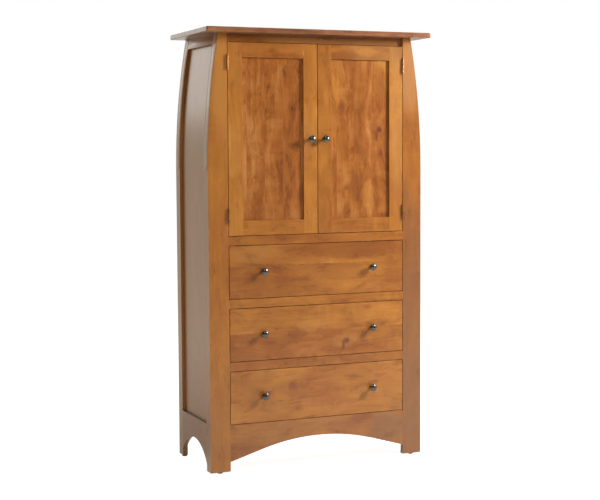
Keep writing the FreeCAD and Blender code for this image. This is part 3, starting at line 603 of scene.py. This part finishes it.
for side in ("left", "right"):
    for end in ("front", "rear"):
        name = "post_%s_%s" % (end, side)
        dress_wood(name, STAINED_BOARD, "zxy", POST_EASE, tone=POST_PAINTED_LIGHT[side], figure=0.45)
    dress_wood("side_panel_" + side, STAINED_BOARD, "zyx", warmth=-0.2, figure=0.2, relief=0.01)
for name in ("side_top_rails", "side_bottom_rails"):
    dress_wood(name, STAINED_BOARD, "yzx", BOARD_EASE, tone=-0.04, warmth=-0.2, figure=0.2, relief=0.03)
for name in ("front_top_rail", "front_middle_rail", "drawer_dividers", "front_arched_rail"):
    dress_wood(name, STAINED_BOARD, "xzy", BOARD_EASE, figure=0.6, dull_top=DULL_TOP)
dress_wood("top_board", PAINTED_SHEEN_BOARD, "xyz", TOP_EASE, boards=TOP_BOARDS, tone=-0.15, figure=0.7)
for door in DOORS:
    for part in ("hinge_stile", "meeting_stile"):
        name = "%s_%s" % (door, part)
        tone = STILE_TONES[name]
        dress_wood(name, STAINED_BOARD, "zxy", BOARD_EASE, tone=tone, warmth=-0.04, figure=0.55)
    dress_wood(door + "_rails", STAINED_BOARD, "xzy", BOARD_EASE, tone=0.1, figure=0.7)
    name = door + "_panel"
    tone = PANEL_TONES[name]
    dress_wood(name, STAINED_BOARD, "zxy", boards=PANEL_BOARDS, tone=tone, warmth=PANEL_WARMTHS[name])
for drawer in DRAWERS:
    name = drawer + "_front"
    tone = DRAWER_TONES[drawer]
    dress_wood(name, STAINED_BOARD, "xzy", BOARD_EASE, boards=DRAWER_BOARDS[drawer], tone=tone, figure=0.7)
    for part, grain in (("sides", "yzx"), ("back", "xzy"), ("bottom", "xyz")):
        dress_wood("%s_%s" % (drawer, part), PALE_BOARD, grain, figure=0.6)
for name in ("case_bottom", "cabinet_deck", "adjustable_shelf"):
    dress_wood(name, STAINED_BOARD, "xyz", boards=SHELF_BOARDS, dull_top=DULL_TOP)
dress_wood("rear_rails", STAINED_BOARD, "xzy", figure=0.6)
dress_wood("inner_gables", STAINED_BOARD, "zyx", boards=GABLE_BOARDS, figure=0.8)
dress_wood("back_panel", PLYWOOD_FACE, "zxy", figure=0.8)

KNOB_METAL = metal("knob_metal", (82, 77, 73), (106, 100, 95), 0.29)
HINGE_METAL = metal("hinge_metal", (132, 86, 58), (182, 130, 94), 0.32)
SLIDE_STEEL = metal("slide_steel", (150, 152, 155), (186, 188, 190), 0.32)
NYLON = plastic("dark_plastic", (34, 30, 28), (52, 47, 43))
for door in DOORS:
    dress(door + "_knob", KNOB_METAL)
    dress(door + "_hinge_leaves", HINGE_METAL)
    dress(door + "_catch_plate", SLIDE_STEEL)
for drawer in DRAWERS:
    dress(drawer + "_knobs", KNOB_METAL)
    dress(drawer + "_slide_members", SLIDE_STEEL)
for name in ("lower", "middle", "upper"):
    dress(name + "_slide_intermediates", SLIDE_STEEL)
dress("slide_case_members", SLIDE_STEEL)
dress("shelf_pins", SLIDE_STEEL)
dress("hinge_post_leaves", HINGE_METAL)
dress("hinge_pins", HINGE_METAL)
dress("door_catches", NYLON)
dress("floor_glides", NYLON)

# A head is a stack of rings, each with its share of the head's radius and of its height.
SIDES = 24
HEAD_PROFILE = ((1.0, 0.0), (0.98, 0.4), (0.88, 0.8), (0.7, 1.0))
RECESS_REACH = 0.16
RECESS_FLOOR = 0.2
CROSS = (
    (3, -1), (3, 1), (1, 1), (1, 3), (-1, 3), (-1, 1),
    (-3, 1), (-3, -1), (-1, -1), (-1, -3), (1, -3), (1, -1),
)
# The walls and floor of a screw's cross recess take a dark finish, which is painted shade.
RECESS_PAINTED_SHADE = metal("screw_recess_painted_shade", (26, 24, 22), (44, 40, 37), 0.6)


def add_head(shape, place, outward, radius, height, crossed):
    """Adds a low round head, seated at the place, with a cross recess if it is a screw's."""
    turn = Vector(outward).to_track_quat("Z", "Y")

    def spot(x, y, z):
        return shape.verts.new(Vector(place) + turn @ Vector((x, y, z)))

    def ring(share, rise):
        reach = share * radius
        angles = [(count - 1) * math.tau / SIDES for count in range(SIDES)]
        return [spot(reach * math.cos(angle), reach * math.sin(angle), rise * height) for angle in angles]

    def join(lower, upper):
        for count in range(len(lower)):
            after = (count + 1) % len(lower)
            shape.faces.new((lower[count], lower[after], upper[after], upper[count]))

    rings = [ring(share, rise) for share, rise in HEAD_PROFILE]
    shape.faces.new(rings[0][::-1])
    for lower, upper in zip(rings, rings[1:]):
        join(lower, upper)
    crown = rings[-1]
    if not crossed:
        shape.faces.new(crown)
        return
    unit = RECESS_REACH * radius
    rim = [spot(x * unit, y * unit, height) for x, y in CROSS]
    floor = [spot(x * unit, y * unit, RECESS_FLOOR * height) for x, y in CROSS]
    for count in range(len(CROSS)):
        after = (count + 1) % len(CROSS)
        outer = [crown[2 * count], crown[2 * count + 1], crown[(2 * count + 2) % SIDES]]
        shape.faces.new((*outer, rim[after], rim[count]))
        wall = shape.faces.new((rim[count], rim[after], floor[after], floor[count]))
        # The second finish, on the recess walls and floor, is the painted shade.
        wall.material_index = 1
    shape.faces.new(floor).material_index = 1


def add_fasteners(name, body, finish, heads, crossed=True):
    """One piece for a set of heads on one body.

    A head is given as its place, the way it faces, its radius and its height.
    """
    shape = bmesh.new()
    for place, outward, radius, height in heads:
        add_head(shape, place, outward, radius, height, crossed)
    mesh = bpy.data.meshes.new(name)
    shape.to_mesh(mesh)
    shape.free()
    mesh.materials.append(finish)
    mesh.materials.append(RECESS_PAINTED_SHADE)
    mesh.shade_smooth()
    mesh.set_sharp_from_angle(angle=SHARP_ANGLE)
    piece = bpy.data.objects.new(name, mesh)
    bpy.context.scene.collection.objects.link(piece)
    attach(piece, body)


RIGHT = Vector((1, 0, 0))
BACKWARD = Vector((0, 1, 0))

# Places of the fasteners, in sizes of the CAD model. A screw or brad is given as the radius and the height
# of its head.
HINGE_HEIGHT = 63 * MM
HINGE_SCREW_PITCH = 20 * MM
LEAF_THICK = 1.1 * MM
LEAF_SCREW = (2.9 * MM, 0.1 * MM)
LEAF_SCREW_DEPTH = 11.5 * MM
KNOB_SCREW = (4.5 * MM, 2.4 * MM)
SLIDE_SCREW = (3.4 * MM, 1.4 * MM)
SLIDE_SCREW_INSET = 35 * MM
SLIDE_SETBACK = 4 * MM
SLIDE_WALL = 1.3 * MM
CATCH_WIDTH = 40 * MM
CATCH_SCREW = (3.2 * MM, 1.6 * MM)
CATCH_SCREW_INSET = 8 * MM
BRAD = (1.7 * MM, 0.5 * MM)
BRAD_PITCH = 118 * MM
BRAD_MARGIN = 5 * MM
BRAD_END_MARGIN = 20 * MM
BOW_LENGTH = 581 * MM
BACK_BOW_INSET = 44.5 * MM


def middle_of(node):
    low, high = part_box(node)
    return (Vector(low) + Vector(high)) / 2


def evenly(first, last, pitch):
    """Places from the first to the last, about a pitch apart."""
    steps = round((last - first) / pitch)
    return [first + (last - first) * count / steps for count in range(steps + 1)]


def leaf_heads(face_x, facing):
    """Three flush screws on one leaf of each of a door's two hinges."""
    low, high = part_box("right_door_hinge_leaves")
    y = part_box("right_door_hinge_stile")[0][1] + LEAF_SCREW_DEPTH
    heads = []
    for centre in (low[2] + HINGE_HEIGHT / 2, high[2] - HINGE_HEIGHT / 2):
        for step in (-1, 0, 1):
            heads.append(((face_x, y, centre + step * HINGE_SCREW_PITCH), facing, *LEAF_SCREW))
    return heads


def build_hinge_screws():
    """Flush screws in the hinge leaves, on the doors and on the posts."""
    post_heads = []
    for door, post, way in zip(DOORS, ("post_front_left", "post_front_right"), (-1, 1)):
        inner, outer = (0, 1) if way > 0 else (1, 0)
        door_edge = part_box(door + "_hinge_stile")[outer][0]
        post_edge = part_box(post)[inner][0]
        heads = leaf_heads(door_edge + way * LEAF_THICK, way * RIGHT)
        add_fasteners(door + "_hinge_screws", door, HINGE_METAL, heads)
        post_heads += leaf_heads(post_edge - way * LEAF_THICK, -way * RIGHT)
    add_fasteners("post_hinge_screws", "case", HINGE_METAL, post_heads)


def build_knob_screws():
    """A screw through the door or drawer front into each knob, with its head inside."""
    for door in DOORS:
        place = middle_of(door + "_knob")
        place.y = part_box(door + "_hinge_stile")[1][1]
        heads = [(place, BACKWARD, *KNOB_SCREW)]
        add_fasteners(door + "_knob_screw", door, SLIDE_STEEL, heads)
    for drawer in DRAWERS:
        low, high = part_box(drawer + "_knobs")
        radius = (high[2] - low[2]) / 2
        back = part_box(drawer + "_slide_members")[0][1] - SLIDE_SETBACK
        heads = []
        for x in (low[0] + radius, high[0] - radius):
            heads.append(((x, back, low[2] + radius), BACKWARD, *KNOB_SCREW))
        add_fasteners(drawer + "_knob_screws", drawer, SLIDE_STEEL, heads)


def build_slide_screws():
    """Three screws that hold each drawer's channel to its side."""
    for drawer in DRAWERS:
        low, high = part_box(drawer + "_slide_members")
        side_low, side_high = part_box(drawer + "_sides")
        heads = []
        for way, face in ((-1, side_low[0] - SLIDE_WALL), (1, side_high[0] + SLIDE_WALL)):
            for y in (low[1] + SLIDE_SCREW_INSET, (low[1] + high[1]) / 2, high[1] - SLIDE_SCREW_INSET):
                heads.append(((face, y, (low[2] + high[2]) / 2), way * RIGHT, *SLIDE_SCREW))
        add_fasteners(drawer + "_slide_screws", drawer, SLIDE_STEEL, heads)


def build_catch_screws():
    """Two screws in each catch."""
    low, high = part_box("door_catches")
    z = (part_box("front_top_rail")[0][2] + high[2]) / 2
    heads = []
    for edge, inward in ((low[0], 1), (high[0], -1)):
        for inset in (CATCH_SCREW_INSET, CATCH_WIDTH - CATCH_SCREW_INSET):
            heads.append(((edge + inward * inset, high[1], z), BACKWARD, *CATCH_SCREW))
    add_fasteners("catch_screws", "case", SLIDE_STEEL, heads)


def build_brads():
    """Brads that hold the back: down both bowed edges, and along the rails and the deck."""
    low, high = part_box("back_panel")
    radius = (BOW_LENGTH ** 2 + BACK_BOW_INSET ** 2) / (2 * BACK_BOW_INSET)
    places = []
    for z in evenly(low[2] + BRAD_END_MARGIN, high[2] - BRAD_END_MARGIN, BRAD_PITCH):
        rise = max(0.0, z - (high[2] - BOW_LENGTH))
        inset = BRAD_MARGIN + radius - math.sqrt(radius ** 2 - rise ** 2)
        places += [(low[0] + inset, z), (high[0] - inset, z)]
    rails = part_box("rear_rails")
    rows = (rails[0][2] + BRAD_END_MARGIN, middle_of("cabinet_deck").z, rails[1][2] - BRAD_END_MARGIN)
    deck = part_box("cabinet_deck")
    for z in rows:
        places += [(x, z) for x in evenly(deck[0][0], deck[1][0], BRAD_PITCH)]
    heads = [((x, high[1], z), BACKWARD, *BRAD) for x, z in places]
    add_fasteners("back_panel_brads", "case", SLIDE_STEEL, heads, crossed=False)


build_hinge_screws()
build_knob_screws()
build_slide_screws()
build_catch_screws()
build_brads()

WHITE = (1.0, 1.0, 1.0, 1.0)
PALE_WALL = linear(248, 252, 236)
WARM_LIGHT = linear(255, 240, 218)
AMBIENT_STRENGTH = 0.19
ROOM_STRENGTH = 0.1
HORIZON_STRENGTH = 0.95
FLOOR_SIZE = 60.0
FLOOR_GLOW = 2.35
FLOOR_GLOW_SEEN = 0.4
FRONT_GLOW_MIRRORED = 0.28
FAR_FRONT_GLOW_MIRRORED = 0.1
NEAR_GLOW_MIRRORED = 0.14
REAR_GLOW_MIRRORED = 0.41
FLOOR_COLOUR = linear(238, 238, 238)

# Where a mirrored direction, or a mirrored place of the floor along Y, goes from one strength to the next.
HORIZON_FADE = (0.0, 0.3)
ROOM_FADE = (-0.6, 0.3)
FAR_FRONT_FADE = (-6.5, -2.0)
NEAR_FRONT_FADE = (0.4, -0.2)
REAR_FADE = (0.4, 4.7)

# Each lamp's place, size and power in watts. All face the middle of the front.
MIDDLE = Vector((0.0, -0.19, 1.0))
LAMPS = {
    "key_lamp": ((2.58, -1.34, 2.32), 0.6, 130),
    "fill_lamp": ((-0.4, -3.2, 4.2), 1.0, 26),
    "backdrop_lamp": ((-2.1, 4.7, 2.9), 2.2, 23),
    "rear_lamp": ((1.6, 4.6, 3.0), 1.6, 90),
}


def build_world():
    """White to look at. Reflections show a bright backdrop behind the object and a dim room before it."""
    world = bpy.data.worlds.new("studio")
    bpy.context.scene.world = world
    world.use_nodes = True
    world.node_tree.nodes.clear()
    graph = Graph(world.node_tree)
    path = graph.add("ShaderNodeLightPath")
    _, backward, upward = graph.axes(graph.signal(graph.add("ShaderNodeTexCoord"), "Generated"))
    backdrop = graph.spread(upward, *HORIZON_FADE, HORIZON_STRENGTH, 1.0)
    mirrored = graph.spread(backward, *ROOM_FADE, ROOM_STRENGTH, 1.0) * backdrop
    lighting = graph.add("ShaderNodeBackground", {"Color": WARM_LIGHT, "Strength": AMBIENT_STRENGTH})
    surroundings = graph.add("ShaderNodeBackground", {"Color": PALE_WALL, "Strength": mirrored})
    white = graph.add("ShaderNodeBackground", {"Color": WHITE, "Strength": 1.0})
    unseen = graph.add(
        "ShaderNodeMixShader",
        {0: graph.signal(path, "Is Glossy Ray"), 1: graph.signal(lighting), 2: graph.signal(surroundings)},
    )
    seen = graph.signal(path, "Is Camera Ray") + graph.signal(path, "Is Transmission Ray")
    mixed = graph.add("ShaderNodeMixShader", {0: seen, 1: graph.signal(unseen), 2: graph.signal(white)})
    graph.add("ShaderNodeOutputWorld", {"Surface": graph.signal(mixed)})


def build_floor():
    """Plain white floor that keeps the object's shadow."""
    mesh = bpy.data.meshes.new("floor")
    shape = bmesh.new()
    bmesh.ops.create_grid(shape, x_segments=1, y_segments=1, size=FLOOR_SIZE / 2)
    shape.to_mesh(mesh)
    shape.free()
    floor = bpy.data.objects.new("floor", mesh)
    bpy.context.scene.collection.objects.link(floor)
    material, graph = new_material("floor")
    plain = graph.add("ShaderNodeBsdfDiffuse", {"Color": FLOOR_COLOUR})
    white = graph.add("ShaderNodeEmission", {"Color": WHITE, "Strength": FLOOR_GLOW})
    pale = graph.add("ShaderNodeEmission", {"Color": PALE_WALL, "Strength": FLOOR_GLOW})
    path = graph.add("ShaderNodeLightPath")
    seen = graph.signal(path, "Is Camera Ray") + graph.signal(path, "Is Transmission Ray")
    _, y, _ = graph.axes(graph.signal(graph.add("ShaderNodeTexCoord"), "Object"))
    front = graph.spread(y, *FAR_FRONT_FADE, FAR_FRONT_GLOW_MIRRORED, FRONT_GLOW_MIRRORED)
    front = front * graph.spread(y, *NEAR_FRONT_FADE)
    rear = graph.spread(y, *REAR_FADE, NEAR_GLOW_MIRRORED, REAR_GLOW_MIRRORED)
    mirrored = graph.signal(path, "Is Glossy Ray") * (front + rear)
    pale_share = graph.add(
        "ShaderNodeMixShader",
        {0: mirrored, 1: graph.signal(plain), 2: graph.signal(pale)},
    )
    mixed = graph.add(
        "ShaderNodeMixShader",
        {0: seen * FLOOR_GLOW_SEEN, 1: graph.signal(pale_share), 2: graph.signal(white)},
    )
    close_material(graph, mixed)
    mesh.materials.append(material)


def build_camera():
    data = bpy.data.cameras.new("camera")
    data.sensor_width = SENSOR_WIDTH_MM
    data.lens = FOCAL_LENGTH_MM
    camera = bpy.data.objects.new("camera", data)
    heading = Matrix.Rotation(-CAMERA_YAW, 4, "Z")
    level = Matrix.Rotation(math.pi / 2 - CAMERA_PITCH, 4, "X")
    roll = Matrix.Rotation(CAMERA_ROLL, 4, "Z")
    camera.matrix_world = Matrix.Translation(CAMERA_PLACE) @ heading @ level @ roll
    bpy.context.scene.collection.objects.link(camera)
    bpy.context.scene.camera = camera


def build_lamp(name, place, size, power):
    """A soft box that faces the middle of the front."""
    data = bpy.data.lights.new(name, "AREA")
    data.shape = "SQUARE"
    data.size = size
    data.energy = power
    lamp = bpy.data.objects.new(name, data)
    lamp.location = place
    lamp.rotation_mode = "QUATERNION"
    lamp.rotation_quaternion = (MIDDLE - Vector(place)).to_track_quat("-Z", "Y")
    lamp.visible_camera = False
    bpy.context.scene.collection.objects.link(lamp)


build_world()
build_floor()
build_camera()
for name, (place, size, power) in LAMPS.items():
    build_lamp(name, place, size, power)
bpy.context.scene.view_settings.view_transform = "Standard"
